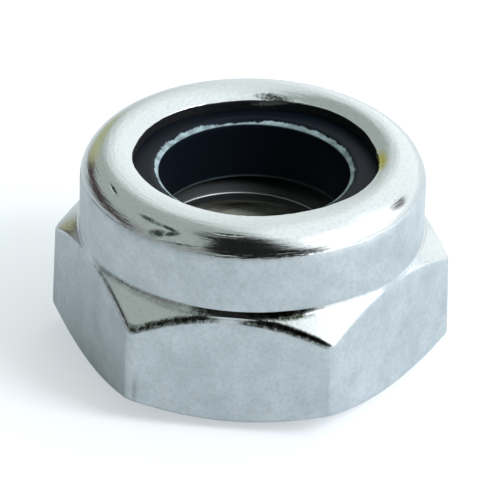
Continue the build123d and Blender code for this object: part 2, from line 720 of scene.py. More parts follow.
    def shares(self, zone: Zone) -> list[float]:
        """Where a zone's rows are along it. A row close to each end keeps the flat zones flat.

        Args:
            zone: The zone.

        Returns:
            The rows, as shares of its length.
        """
        count = self.rows_by_zone[zone]
        if zone not in self.snug_zones:
            return [index / count for index in range(count)]
        first, last = self.snug_share, 1 - self.snug_share
        return [0.0] + [blend(first, last, index / (count - 2)) for index in range(count - 1)]

    def column(self, angle: float) -> list[Point]:
        """Whole section in a direction.

        Args:
            angle: Direction from the axis, in radians.

        Returns:
            Its points, one for each row.
        """
        stretches = self.hexagon_side(angle) | self.collar_side(angle)
        found = [stretches[zone](share) for zone in self.rows_by_zone for share in self.shares(zone)]
        floor_edge = (self.thread_radius(angle, self.floor_height), self.floor_height)
        return found + [floor_edge] + self.thread_side(angle)

    def mask_rows(self, ring: Ring, layer: Layer) -> None:
        """Marks the turned chamfers, the bore, the crest edges' wear and painted highlight, and the painted
        shade.

        Args:
            ring: The mesh, shaped.
            layer: Holds each vertex's row.
        """
        places = [(zone, row / count) for zone, count in self.rows_by_zone.items() for row in range(count)]
        turned, inside, worn_and_highlit, painted_shade = (ring.verts.layers.float[mask] for mask in MASKS)
        crest_r = self.minor_r + self.crest_blur
        for vertex in ring.verts:
            row = vertex[layer]
            zone, share = places[row] if row < len(places) else (Zone.THREAD, 0.0)
            angle = math.atan2(vertex.co.y, vertex.co.x)
            vertex[turned] = float(zone in self.turned_zones)
            if zone is Zone.TOP_EDGE:
                vertex[turned] = smooth_step(*self.turned_edge, share)
            if zone in self.shrinking_zones:
                chamfer = math.dist(self.top_corner(angle), self.neck(angle))
                long_enough = smooth_step(*self.shrinking_chamfer, chamfer)
                vertex[turned] *= max(long_enough, self.frontness(angle, self.gloss_front))
            vertex[inside] = float(zone in self.inside_zones)
            # Painted shade along the groove round the collar's foot.
            vertex[painted_shade] = max(shade_stretch.amount(zone, share, math.degrees(angle)) for shade_stretch in self.painted_shades)
            # The crest edges get wear and a painted highlight.
            if zone is Zone.THREAD and math.hypot(vertex.co.x, vertex.co.y) < crest_r:
                off_edge = (vertex.co.z - self.thread_lead(angle)) / self.thread_pitch - self.half_crest
                rows_off = abs(off_edge - round(off_edge)) * self.rows_a_pitch
                vertex[worn_and_highlit] = max(0.0, 1.0 - rows_off)

    def directions(self) -> list[float]:
        """Lays out the steps round the axis, closer together over the hexagon's rounded corners.

        Returns:
            Their directions, in radians.
        """
        found = []
        side_deg = 360 / SIDES
        for corner in range(SIDES):
            start = side_deg * corner - self.corner_reach_deg
            end = start + 2 * self.corner_reach_deg
            for first, last, steps in (
                (start, end, self.corner_steps),
                (end, start + side_deg, self.flat_steps),
            ):
                found += [blend(first, last, step / steps) for step in range(steps)]
        return [math.radians(angle) for angle in found]

    def build(self) -> bpy.types.Object:
        """Spins the rows round the axis and moves each vertex to its place on the nut.

        Returns:
            The steel body.
        """
        directions = self.directions()
        rows = sum(self.rows_by_zone.values()) + 1 + self.thread_rows
        ring, layer = spin_section(rows, len(directions), MASKS)
        shape_ring(ring, layer, directions, self.column)
        self.mask_rows(ring, layer)
        thread_start = rows - self.thread_rows
        bore = [face for face in ring.faces if min(vertex[layer] for vertex in face.verts) >= thread_start]
        bmesh.ops.triangulate(ring, faces=bore, quad_method="SHORT_EDGE", ngon_method="BEAUTY")
        return finish_mesh(ring, "steel_body", self.sharp_deg)


@dataclass
class NylonRing:
    """Nylon ring held in the collar, scuffed pale along the upper edge of its bore."""

    seat: SteelBody
    bore_d: float = 7.05
    chamfer_width: float = 0.22
    chamfer_depth: float = 0.16
    bore_shift: Point = (0.045, -0.045)
    edge_waver: Waver = Waver(0.03, 24, 1.7)
    sharp_deg: float = 60.0
    steps_round: int = 480
    top_rows: int = 10
    chamfer_rows: int = 8
    bore_rows: int = 12

    @property
    def top_height(self) -> float:
        """Height of its top face."""
        return self.seat.floor_height + self.seat.insert_thickness

    def mouth_r(self, angle: float) -> float:
        """Radius of the bore in a direction, from the collar's axis, which it is a little to one side of."""
        shift = self.bore_shift[0] * math.cos(angle) + self.bore_shift[1] * math.sin(angle)
        return self.bore_d / 2 + shift

    def section(self, angle: float) -> list[Point]:
        """Section of the ring in a direction, from the outer top corner round to the start.

        Args:
            angle: Direction from the axis, in radians.

        Returns:
            Its points, one for each row.
        """
        bore_r, floor, top = self.mouth_r(angle), self.seat.floor_height, self.top_height
        outer_r = self.seat.recess_r - self.seat.insert_clearance
        bevel = self.seat.lip_root_bevel
        chamfer_out = (bore_r + self.chamfer_width + self.edge_waver.at(angle), top)
        chamfer_in = (bore_r, top - self.chamfer_depth)
        bore_foot = (bore_r, floor)
        stretches = (
            ((outer_r - bevel, top), chamfer_out, self.top_rows),
            (chamfer_out, chamfer_in, self.chamfer_rows),
            (chamfer_in, bore_foot, self.bore_rows),
        )
        points = []
        for start, end, rows in stretches:
            points += [along_line(start, end, row / rows) for row in range(rows)]
        return points + [bore_foot, (outer_r, floor), (outer_r, top - bevel)]

    def build(self) -> bpy.types.Object:
        """Spins the section and shapes it.

        Returns:
            The ring.
        """
        directions = [math.tau * step / self.steps_round for step in range(self.steps_round)]
        ring, layer = spin_section(len(self.section(0.0)), self.steps_round)
        shape_ring(ring, layer, directions, self.section)
        return finish_mesh(ring, "nylon_ring", self.sharp_deg)


# ---------------------------------------------------------------- finishes


def linear(hex_colour: str) -> tuple[float, float, float, float]:
    """Turns a colour into the linear values that a shader takes.

    Args:
        hex_colour: sRGB hex value, such as "#A0B0C0".

    Returns:
        Its red, green, blue and alpha.
    """
    parts = [int(hex_colour[i : i + 2], 16) / 255 for i in (1, 3, 5)]
    red, green, blue = (p / 12.92 if p <= 0.04045 else ((p + 0.055) / 1.055) ** 2.4 for p in parts)
    return red, green, blue, 1.0


def compass(azimuth_deg: float, elevation_deg: float = 0.0) -> Vector:
    """Turns a bearing into a direction.

    Args:
        azimuth_deg: Its angle round from +X.
        elevation_deg: Its angle above the horizon.

    Returns:
        The direction, of length 1.
    """
    azimuth, elevation = math.radians(azimuth_deg), math.radians(elevation_deg)
    level = math.cos(elevation)
    return Vector((level * math.cos(azimuth), level * math.sin(azimuth), math.sin(elevation)))


def add_node(tree: Tree, kind: str, settings: dict | None = None, **links: Socket) -> bpy.types.Node:
    """Adds a node with its settings and links.

    Args:
        tree: Node tree to add to.
        kind: Node type without its "ShaderNode", such as "Math".
        settings: Properties by name, and input values by index or name under the key "inputs".
        links: Output sockets by the name of the input that they go to, with spaces as underscores, or by _
            and its index.

    Returns:
        The node.
    """
    made = tree.nodes.new("ShaderNode" + kind)
    for key, value in (settings or {}).items():
        if key == "inputs":
            for socket, content in value.items():
                made.inputs[socket].default_value = content
        else:
            setattr(made, key, value)
    for key, source in links.items():
        socket = int(key[1:]) if key[0] == "_" else key.replace("_", " ")
        tree.links.new(source, made.inputs[socket])
    return made


def new_material(name: str) -> tuple[bpy.types.Material, Tree, bpy.types.Node]:
    """Starts a material.

    Args:
        name: Its name.

    Returns:
        The material, its node tree and its Principled shader.
    """
    material = bpy.data.materials.new(name)
    material.use_nodes = True
    tree = material.node_tree
    return material, tree, tree.nodes["Principled BSDF"]


def round_place(tree: Tree, centre_mm: Point = (0.0, 0.0)) -> Place:
    """Place on a turned piece, for patterns that run round its axis.

    Args:
        tree: Node tree to add to.
        centre_mm: Where the axis is.

    Returns:
        Sockets by name: "object", the plain place; "radius"; "height"; "rise", the height less the radius,
        which grows all the way up a wall and over a rim; and "round", the direction from the axis, with the
        rise as its Z.
    """
    where = add_node(tree, "TexCoord").outputs["Object"]
    centre = (centre_mm[0] * MM, centre_mm[1] * MM, 0.0)
    centred = add_node(tree, "VectorMath", {**MINUS, "inputs": {1: centre}}, _0=where).outputs["Vector"]
    split = add_node(tree, "SeparateXYZ", None, Vector=centred).outputs
    level = add_node(tree, "CombineXYZ", None, X=split["X"], Y=split["Y"]).outputs["Vector"]
    radius = add_node(tree, "VectorMath", {"operation": "LENGTH"}, _0=level).outputs["Value"]
    facing = add_node(tree, "VectorMath", {"operation": "NORMALIZE"}, _0=level).outputs["Vector"]
    rise = add_node(tree, "Math", MINUS, _0=split["Z"], _1=radius).outputs["Value"]
    turned = add_node(tree, "SeparateXYZ", None, Vector=facing).outputs
    around = add_node(tree, "CombineXYZ", None, X=turned["X"], Y=turned["Y"], Z=rise).outputs["Vector"]
    return {"object": where, "radius": radius, "height": split["Z"], "rise": rise, "round": around}


@dataclass(frozen=True)
class Ramp:
    """Values between which a share goes from low to high. It stays level on either side of them."""

    start: float
    full: float
    low: float = 0.0
    high: float = 1.0
    unit: float = 1.0  # what its start and full are counted in

    @property
    def inputs(self) -> dict[str, float]:
        """Values for its map range."""
        start, full = self.start * self.unit, self.full * self.unit
        return {"From Min": start, "From Max": full, "To Min": self.low, "To Max": self.high}


@dataclass(frozen=True)
class Mottle:
    """Noise that runs in no direction: its size, its detail and how rough the detail is."""

    size_mm: float
    detail: float = 3.0
    roughness: float = 0.6

    @property
    def inputs(self) -> dict[str, float]:
        """Values for its noise."""
        return {"Scale": 1 / (self.size_mm * MM), "Detail": self.detail, "Roughness": self.roughness}


@dataclass(frozen=True)
class Marks:
    """Noise drawn out into marks that run round the axis: the radius where they are, their length, their
    width, and the noise's detail and roughness."""

    radius_mm: float
    length_mm: float
    width_mm: float
    detail: float
    roughness: float = 0.6

    def pattern(self, tree: Tree, place: Socket) -> Socket:
        """Adds their nodes.

        Args:
            tree: Node tree to add to.
            place: The "round" place.

        Returns:
            The noise, from 0 to 1.
        """
        reach = self.radius_mm / self.length_mm
        scale = (reach, reach, 1 / (self.width_mm * MM))
        stretch = {"vector_type": "POINT", "inputs": {"Scale": scale}}
        stretched = add_node(tree, "Mapping", stretch, Vector=place).outputs["Vector"]
        plain = {"inputs": {"Scale": 1.0, "Detail": self.detail, "Roughness": self.roughness}}
        return add_node(tree, "TexNoise", plain, Vector=stretched).outputs["Fac"]


@dataclass(frozen=True)
class Nick:
    """Small scuff: its direction from the axis, rise, length, width, and how far it climbs on the way."""

    azimuth_deg: float
    rise_mm: float
    length_mm: float
    width_mm: float
    climb: float = 0.0
    strength: float = 1.0
    begins: float = 1.2  # half sizes from its middle at which it begins and is full
    is_full: float = 0.4

    def mask(self, tree: Tree, place: Place) -> Socket:
        """Adds the nodes that are at its strength over its middle and 0 outside it.

        Args:
            tree: Node tree to add to.
            place: Where it is on the piece.

        Returns:
            The mask.
        """
        ways = (compass(self.azimuth_deg + 90), compass(self.azimuth_deg))
        along, facing = (
            add_node(
                tree, "VectorMath", {"operation": "DOT_PRODUCT", "inputs": {1: way}}, _0=place["object"]
            ).outputs["Value"]
            for way in ways
        )
        climb = {"operation": "MULTIPLY_ADD", "inputs": {1: -self.climb}}
        climbed = add_node(tree, "Math", climb, _0=along, _2=place["rise"]).outputs["Value"]
        middle = {**MINUS, "inputs": {1: self.rise_mm * MM}}
        across = add_node(tree, "Math", middle, _0=climbed).outputs["Value"]
        spread = add_node(tree, "CombineXYZ", None, X=along, Y=across).outputs["Vector"]
        size = (2 / (self.length_mm * MM), 2 / (self.width_mm * MM), 0.0)
        scaled = add_node(tree, "VectorMath", {**TIMES, "inputs": {1: size}}, _0=spread).outputs["Vector"]
        off = add_node(tree, "VectorMath", {"operation": "LENGTH"}, _0=scaled).outputs["Value"]
        edge = Ramp(self.begins, self.is_full, 0.0, self.strength)
        near = add_node(tree, "MapRange", {"inputs": edge.inputs}, Value=off).outputs["Result"]
        this_side = {"operation": "GREATER_THAN", "inputs": {1: 0.0}}
        side = add_node(tree, "Math", this_side, _0=facing).outputs["Value"]
        return add_node(tree, "Math", TIMES, _0=near, _1=side).outputs["Value"]


@dataclass(frozen=True)
class BrightZincPlate:
    """Bright zinc plate on cold-formed steel.

    To the eye it is a pale metal with a blue cast: satin with a fine grain on the drawn wall and flats,
    glossy with faint marks round it where it was rolled or turned, and thin inside. Its colour paints light
    and shade: painted shade in the bore, under the lip and in the groove round the collar's foot, painted
    light on the bore's flanks on one side, and a painted highlight, with wear, along the thread's crest
    edges.
    """

    name: str = "bright_zinc_plate"
    pale: str = "#D2DAE0"
    dull: str = "#BCC6CC"
    glossy: str = "#CBD1D4"
    speck: str = "#A2AAAA"
    # The next three are painted into the bore: painted shade under the lip, painted shade above the flanks,
    # and painted light on the flanks of the lit side.
    under_lip_shade: str = "#05070A"
    shade: str = "#23282A"
    flank: str = "#E2E4D8"
    # Partly wear and partly a painted highlight along the thread's crest edges.
    worn_and_highlit: str = "#C4CCCC"
    nicked: str = "#4A524E"
    yellowed: str = "#BDB76E"
    # Colour of the painted shade in the groove round the collar's foot.
    painted_shade: str = "#373D31"

    satin: float = 0.42  # roughness where it is drawn, turned, rolled and thin
    turned: float = 0.15
    rolled: float = 0.13
    thin: float = 0.5
    metal: Ramp = Ramp(0.0, 1.0, 1.0, 0.1)  # how metallic it is, from covered to thin

    cloud: Mottle = Mottle(1.1, 4.0)
    clouded: Ramp = Ramp(0.3, 0.7)
    # The crystals of the plate are a few hundredths of a millimetre wide. They are drawn as coarse as they
    # need to be to show, and so are the fine marks that drawing and rolling leave.
    grain: Mottle = Mottle(0.14)
    specks: Ramp = Ramp(0.45, 0.72, 0.0, 0.36)
    glossy_specks: float = 0.7
    streak: Mottle = Mottle(0.1, 2.0, 0.5)
    streak_stretch: float = 0.12
    rolling: Marks = Marks(6.0, 2.5, 0.3, 4.0)
    bump_mm: float = 0.03
    bump: Ramp = Ramp(0.0, 1.0, 0.16, 0.8)  # its strength, from drawn to rolled
    nick_depth: float = -1.2

    rolled_from_mm: float = 7.22
    rolled_blur_mm: float = 0.02
    rolled_ragged_mm: float = 0.14
    ragged: Mottle = Mottle(0.5, 3.0, 0.65)
    patchy: Mottle = Mottle(0.22, 3.0, 0.65)
    patches: Ramp = Ramp(0.36, 0.56, 0.45, 1.25)
    # Strength of the crest edges' wear and painted highlight.
    highlight_and_wear: Ramp = Ramp(0.4, 1.0, 0.0, 0.8)

    lit_towards_deg: float = 104.0  # side of the bore where painted light makes its flanks pale
    lit: Ramp = Ramp(0.8, 0.98, 0.25, 1.0)
    shade_over_mm: Point = (3.6, 3.9)
    shade_ragged_mm: float = 0.5
    bore_streaks: Marks = Marks(3.6, 2.0, 0.1, 3.0)
    streaked: Ramp = Ramp(0.38, 0.6, 0.35, 1.0)
    above: Ramp = Ramp(5.5, 6.5, unit=MM)  # heights over which painted shade turns the bore dark under the lip

    yellows: tuple[Nick, ...] = (Nick(3.0, 3.2, 1.6, 0.36),)
    nicks: tuple[Nick, ...] = (
        Nick(-121.5, 1.80, 1.15, 0.24, -0.08),
        Nick(-113.5, 1.72, 0.80, 0.20, -0.15),
        Nick(-117.2, 1.30, 0.75, 0.40, 0.3),
        Nick(-112.0, 1.50, 0.65, 0.26, 0.4),
        Nick(-109.0, 1.12, 1.50, 0.16, 0.1, 0.7),
        Nick(-145.0, 2.12, 0.95, 0.15, -0.22, 0.9),
        Nick(-92.0, 2.03, 1.00, 0.12, 0.0),
        Nick(87.0, 3.42, 1.50, 0.26, 0.0),
        Nick(-118.1, -6.05, 0.2, 1.9, 0.0, 0.24),
        Nick(-61.0, -5.60, 0.14, 3.2, 0.0, 0.09),
    )

    def build(self) -> bpy.types.Material:
        """Makes the material.

        Returns:
            The material.
        """
        material, tree, shader = new_material(self.name)
        place = round_place(tree)
        cloud, grain, ragged, patchy = (
            add_node(tree, "TexNoise", {"inputs": mottle.inputs}, Vector=place["object"]).outputs["Fac"]
            for mottle in (self.cloud, self.grain, self.ragged, self.patchy)
        )
        turned, inside, worn_and_highlit, painted_shade = (
            add_node(tree, "Attribute", {"attribute_name": mask}).outputs["Fac"] for mask in MASKS
        )
        rolled = self.rolled_part(tree, place, ragged)
        glossy = add_node(tree, "Math", LARGER, _0=rolled, _1=turned).outputs["Value"]
        # Wear and a painted highlight on the crest edges.
        worn_and_highlit = add_node(tree, "MapRange", {"inputs": self.highlight_and_wear.inputs}, Value=worn_and_highlit).outputs["Result"]
        nicked, yellowed = (self.any_of(tree, place, marks) for marks in (self.nicks, self.yellows))
        patchy = add_node(tree, "MapRange", {"inputs": self.patches.inputs}, Value=patchy).outputs["Result"]
        # The painted shade and the nicks come in patches.
        painted_shade, nicked = (
            add_node(tree, "Math", {**TIMES, "use_clamp": True}, _0=mask, _1=patchy).outputs["Value"]
            for mask in (painted_shade, nicked)
        )
        colour = self.colour(tree, place, (cloud, grain), (glossy, inside, worn_and_highlit, yellowed, nicked, painted_shade))
        tree.links.new(colour, shader.inputs["Base Color"])
        tree.links.new(self.roughness(tree, (turned, rolled, inside)), shader.inputs["Roughness"])
        tree.links.new(self.relief(tree, place, grain, (rolled, nicked)), shader.inputs["Normal"])
        thin = add_node(tree, "Math", MINUS, _0=inside, _1=worn_and_highlit).outputs["Value"]
        metal = add_node(tree, "MapRange", {"inputs": self.metal.inputs}, Value=thin).outputs["Result"]
        tree.links.new(metal, shader.inputs["Metallic"])
        return material

    def rolled_part(self, tree: Tree, place: Place, ragged: Socket) -> Socket:
        """Adds the nodes that are 1 over the rolled rim and 0 below its ragged start.

        Args:
            tree: Node tree to add to.
            place: Where it is on the piece.
            ragged: Noise that frays the start.

        Returns:
            The mask.
        """
        reach = {"operation": "MULTIPLY_ADD", "inputs": {1: self.rolled_ragged_mm * MM}}
        frayed = add_node(tree, "Math", reach, _0=ragged, _2=place["height"]).outputs["Value"]
        start, blur = self.rolled_from_mm + self.rolled_ragged_mm / 2, self.rolled_blur_mm
        over = Ramp(start - blur, start + blur, unit=MM)
        return add_node(tree, "MapRange", {"inputs": over.inputs}, Value=frayed).outputs["Result"]

    def any_of(self, tree: Tree, place: Place, marks: tuple[Nick, ...]) -> Socket:
        """Adds the nodes that are 1 on any of some marks.

        Args:
            tree: Node tree to add to.
            place: Where it is on the piece.
            marks: The marks.

        Returns:
            The mask.
        """
        found = marks[0].mask(tree, place)
        for mark in marks[1:]:
            found = add_node(tree, "Math", LARGER, _0=found, _1=mark.mask(tree, place)).outputs["Value"]
        return found

    def colour(
        self, tree: Tree, place: Place, noises: tuple[Socket, ...], masks: tuple[Socket, ...]
    ) -> Socket:
        """Adds the nodes for the colour.

        Args:
            tree: Node tree to add to.
            place: Where it is on the piece.
            noises: The broad cloud and the fine grain.
            masks: Where the plate is glossy, inside the bore with painted light and shade, worn with a
                painted
            highlight, yellowed, nicked, and darkened with painted shade.

        Returns:
            The colour.
        """
        clouded, specks = (
            add_node(tree, "MapRange", {"inputs": ramp.inputs}, Value=value).outputs["Result"]
            for ramp, value in zip((self.clouded, self.specks), noises)
        )
        fewer = {**TIMES, "inputs": {1: self.glossy_specks}}
        few = add_node(tree, "Math", fewer, _0=specks).outputs["Value"]
        ends = {6: linear(self.dull), 7: linear(self.pale)}
        drawn = add_node(tree, "Mix", {**COLOURS, "inputs": ends}, Factor=clouded).outputs[2]
        ends = {7: linear(self.speck)}
        drawn = add_node(tree, "Mix", {**COLOURS, "inputs": ends}, Factor=specks, _6=drawn).outputs[2]
        ends = {6: linear(self.glossy), 7: linear(self.speck)}
        rubbed = add_node(tree, "Mix", {**COLOURS, "inputs": ends}, Factor=few).outputs[2]
        # The bore's colour paints light and shade, the crest colour is partly a painted highlight, and the
        # last tint is painted shade.
        tints = (rubbed, self.bore_colour(tree, place), self.worn_and_highlit, self.yellowed, self.nicked, self.painted_shade)
        for mask, tint in zip(masks, tints):
            fixed = {7: linear(tint)} if isinstance(tint, str) else {}
            linked = {} if fixed else {"_7": tint}
            settings = {**COLOURS, "inputs": fixed}
            drawn = add_node(tree, "Mix", settings, Factor=mask, _6=drawn, **linked).outputs[2]
        return drawn

    def bore_colour(self, tree: Tree, place: Place) -> Socket:
        """Adds the nodes for the colour inside: painted light on the lower flanks of the lit side, painted
        shade above.

        Args:
            tree: Node tree to add to.
            place: Where it is on the piece.

        Returns:
            The colour.
        """
        level = {**TIMES, "inputs": {1: (1.0, 1.0, 0.0)}}
        around = add_node(tree, "VectorMath", level, _0=place["round"]).outputs["Vector"]
        upward = add_node(tree, "CombineXYZ", None, Z=place["height"]).outputs["Vector"]
        along = add_node(tree, "VectorMath", PLUS, _0=around, _1=upward).outputs["Vector"]
        streak = self.bore_streaks.pattern(tree, along)
        reach = {"operation": "MULTIPLY_ADD", "inputs": {1: -self.shade_ragged_mm * MM}}
        sunk = add_node(tree, "Math", reach, _0=streak, _2=place["height"]).outputs["Value"]
        full, none = (limit - self.shade_ragged_mm / 2 for limit in self.shade_over_mm)
        lit = {"operation": "DOT_PRODUCT", "inputs": {1: compass(self.lit_towards_deg)}}
        towards = add_node(tree, "VectorMath", lit, _0=place["round"]).outputs["Value"]
        # Painted light on the flanks of the lit side, below the painted shade.
        eased = {"interpolation_type": "SMOOTHSTEP"}
        deep, painted_lit_side, streaked = (
            add_node(tree, "MapRange", {**style, "inputs": ramp.inputs}, Value=value).outputs["Result"]
            for style, ramp, value in (
                ({}, Ramp(none, full, unit=MM), sunk),
                (eased, self.lit, towards),
                ({}, self.streaked, streak),
            )
        )
        pale = add_node(tree, "Math", TIMES, _0=deep, _1=painted_lit_side).outputs["Value"]
        pale = add_node(tree, "Math", TIMES, _0=pale, _1=streaked).outputs["Value"]
        ends = {6: linear(self.shade), 7: linear(self.flank)}
        bore = add_node(tree, "Mix", {**COLOURS, "inputs": ends}, Factor=pale).outputs[2]
        # Painted shade under the lip.
        above = add_node(tree, "MapRange", {"inputs": self.above.inputs}, Value=place["height"])
        dark = {**COLOURS, "inputs": {7: linear(self.under_lip_shade)}}
        return add_node(tree, "Mix", dark, Factor=above.outputs["Result"], _6=bore).outputs[2]

    def roughness(self, tree: Tree, masks: tuple[Socket, ...]) -> Socket:
        """Adds the nodes for the roughness.

        Args:
            tree: Node tree to add to.
            masks: Where the plate is turned, rolled and thin.

        Returns:
            The roughness.
        """
        rough = None
        for mask, value in zip(masks, (self.turned, self.rolled, self.thin)):
            linked = {} if rough is None else {"_2": rough}
            fixed = {2: self.satin, 3: value} if rough is None else {3: value}
            rough = add_node(tree, "Mix", {"inputs": fixed}, Factor=mask, **linked).outputs[0]
        return rough

    def relief(self, tree: Tree, place: Place, grain: Socket, masks: tuple[Socket, ...]) -> Socket:
        """Adds the nodes for the grain, the marks of drawing and rolling, and the nicks as bumps.

        Args:
            tree: Node tree to add to.
            place: Where it is on the piece.
            grain: The fine grain.
            masks: Where the plate is rolled and nicked.

        Returns:
            The bumped normal.
        """
        rolled, nicked = masks
        stretch = {"vector_type": "POINT", "inputs": {"Scale": (1.0, 1.0, self.streak_stretch)}}
        upright = add_node(tree, "Mapping", stretch, Vector=place["object"]).outputs["Vector"]
        streak = add_node(tree, "TexNoise", {"inputs": self.streak.inputs}, Vector=upright).outputs["Fac"]
        drawn = add_node(tree, "Math", PLUS, _0=grain, _1=streak).outputs["Value"]
        rolling = self.rolling.pattern(tree, place["round"])
        height = add_node(tree, "Mix", None, Factor=rolled, _2=drawn, _3=rolling).outputs[0]
        sunk = {"operation": "MULTIPLY_ADD", "inputs": {1: self.nick_depth}}
        height = add_node(tree, "Math", sunk, _0=nicked, _2=height).outputs["Value"]
        strength = add_node(tree, "MapRange", {"inputs": self.bump.inputs}, Value=rolled).outputs["Result"]
        size = {"inputs": {"Distance": self.bump_mm * MM}}
        return add_node(tree, "Bump", size, Strength=strength, Height=height).outputs["Normal"]


@dataclass(frozen=True)
class MouldedNylon:
    """Moulded nylon in very dark navy.

    To the eye it is satin, near black in shade, and scuffed to a pale blue along the edges of its bore.
    """

    ring: NylonRing
    name: str = "dark_nylon"
    body: str = "#0B1119"
    scuffed: str = "#A3B9C0"
    gleam: str = "#B6CBEA"
    sheen: float = 0.125
    satin: float = 0.45

    # The torn fibres of the scuffed edge are finer than this. They are drawn as coarse as they need to be
    # to show.
    fray: Marks = Marks(3.525, 0.2, 0.06, 3.0)
    strand: Marks = Marks(3.525, 0.42, 0.06, 2.5)
    strands: Ramp = Ramp(0.36, 0.7, 0.42, 1.0)
    swell: Mottle = Mottle(2.2, 1.0, 0.5)
    fray_reach_mm: float = 0.2
    swell_reach_mm: float = 0.1
    band_mm: float = 0.14  # width of the scuffed band round the mouth
    band_blur_mm: float = 0.02
    band_depth_mm: float = 0.2
    band_fade_mm: float = 0.05
    thin_towards_deg: float = 108.0  # side where the band is thinner
    thinned: Ramp = Ramp(0.93, 0.99, 0.0, 0.09 * MM)
    foot_over_mm: Point = (0.04, 0.1)  # heights above its seat over which the scuff of its foot ends
    foot_share: float = 0.26

    def build(self) -> bpy.types.Material:
        """Makes the material.

        Returns:
            The material.
        """
        material, tree, shader = new_material(self.name)
        place = round_place(tree, self.ring.bore_shift)
        strand = self.strand.pattern(tree, place["round"])
        top = self.ring.top_height - self.band_depth_mm
        full, none = (self.ring.seat.floor_height + over for over in self.foot_over_mm)
        upper, foot = (
            add_node(tree, "MapRange", {"inputs": ramp.inputs}, Value=place["height"]).outputs["Result"]
            for ramp in (
                Ramp(top, top + self.band_fade_mm, unit=MM),
                Ramp(none, full, 0.0, self.foot_share, unit=MM),
            )
        )
        strands = add_node(tree, "MapRange", {"inputs": self.strands.inputs}, Value=strand)
        torn = add_node(tree, "Math", TIMES, _0=self.band(tree, place), _1=upper).outputs["Value"]
        torn = add_node(tree, "Math", TIMES, _0=torn, _1=strands.outputs["Result"]).outputs["Value"]
        foot = add_node(tree, "Math", TIMES, _0=foot, _1=strand).outputs["Value"]
        torn = add_node(tree, "Math", LARGER, _0=torn, _1=foot).outputs["Value"]
        ends = {6: linear(self.body), 7: linear(self.scuffed)}
        colour = add_node(tree, "Mix", {**COLOURS, "inputs": ends}, Factor=torn).outputs[2]
        tree.links.new(colour, shader.inputs["Base Color"])
        shader.inputs["Roughness"].default_value = self.satin
        shader.inputs["Specular Tint"].default_value = linear(self.gleam)
        shader.inputs["Specular IOR Level"].default_value = self.sheen
        return material

    def band(self, tree: Tree, place: Place) -> Socket:
        """Adds the nodes that are 1 on a ragged band round the mouth, which is thinner on one side.

        Args:
            tree: Node tree to add to.
            place: Where it is on the ring, from the middle of its bore.

        Returns:
            The mask.
        """
        fray = self.fray.pattern(tree, place["round"])
        broad = {"inputs": self.swell.inputs}
        swell = add_node(tree, "TexNoise", broad, Vector=place["object"]).outputs["Fac"]
        ragged = place["radius"]
        for pattern, reach_mm in ((fray, self.fray_reach_mm), (swell, self.swell_reach_mm)):
            reach = {"operation": "MULTIPLY_ADD", "inputs": {1: reach_mm * MM}}
            ragged = add_node(tree, "Math", reach, _0=pattern, _2=ragged).outputs["Value"]
        thin_side = {"operation": "DOT_PRODUCT", "inputs": {1: compass(self.thin_towards_deg)}}
        towards = add_node(tree, "VectorMath", thin_side, _0=place["round"]).outputs["Value"]
        thinned = add_node(tree, "MapRange", {"inputs": self.thinned.inputs}, Value=towards)
        ragged = add_node(tree, "Math", PLUS, _0=ragged, _1=thinned.outputs["Result"]).outputs["Value"]
        edge = self.ring.bore_d / 2 + self.band_mm + (self.swell_reach_mm + self.fray_reach_mm) / 2
        band = Ramp(edge + self.band_blur_mm, edge - self.band_blur_mm, unit=MM)
        return add_node(tree, "MapRange", {"inputs": band.inputs}, Value=ragged).outputs["Result"]


# ---------------------------------------------------------------- studio


@dataclass(frozen=True)
class Patch:
    """Round part of the room that has its own brightness, as the metal sees it."""

    azimuth_deg: float
    elevation_deg: float
    radius_deg: float
    blur_deg: float
    colour: Colour


@dataclass(frozen=True)
class Tint:
    """Part of the room: its colour, and on which measures of a direction it begins to show and covers."""

    colour: Colour
    fades: tuple[tuple[str, float, float], ...]


def laid_over(
    tree: Tree, under: Socket, colour: Colour, fades: tuple[tuple[Socket, float, float], ...]
) -> Socket:
    """Lays a colour over another where every fade lets it through.

    Args:
        tree: Node tree to add to.
        under: The colour under it.
        colour: The colour on top.
        fades: Value, where on it the colour begins to show, and where it covers.

    Returns:
        The colour of both.
    """
    share = None
    for value, start, full in fades:
        settings = {"interpolation_type": "SMOOTHSTEP", "inputs": Ramp(start, full).inputs}
        fade = add_node(tree, "MapRange", settings, Value=value).outputs["Result"]
        if share is not None:
            fade = add_node(tree, "Math", TIMES, _0=share, _1=fade).outputs["Value"]
        share = fade
    settings = {**COLOURS, "clamp_result": False, "inputs": {7: (*colour, 1.0)}}
    return add_node(tree, "Mix", settings, Factor=share, _6=under).outputs[2]


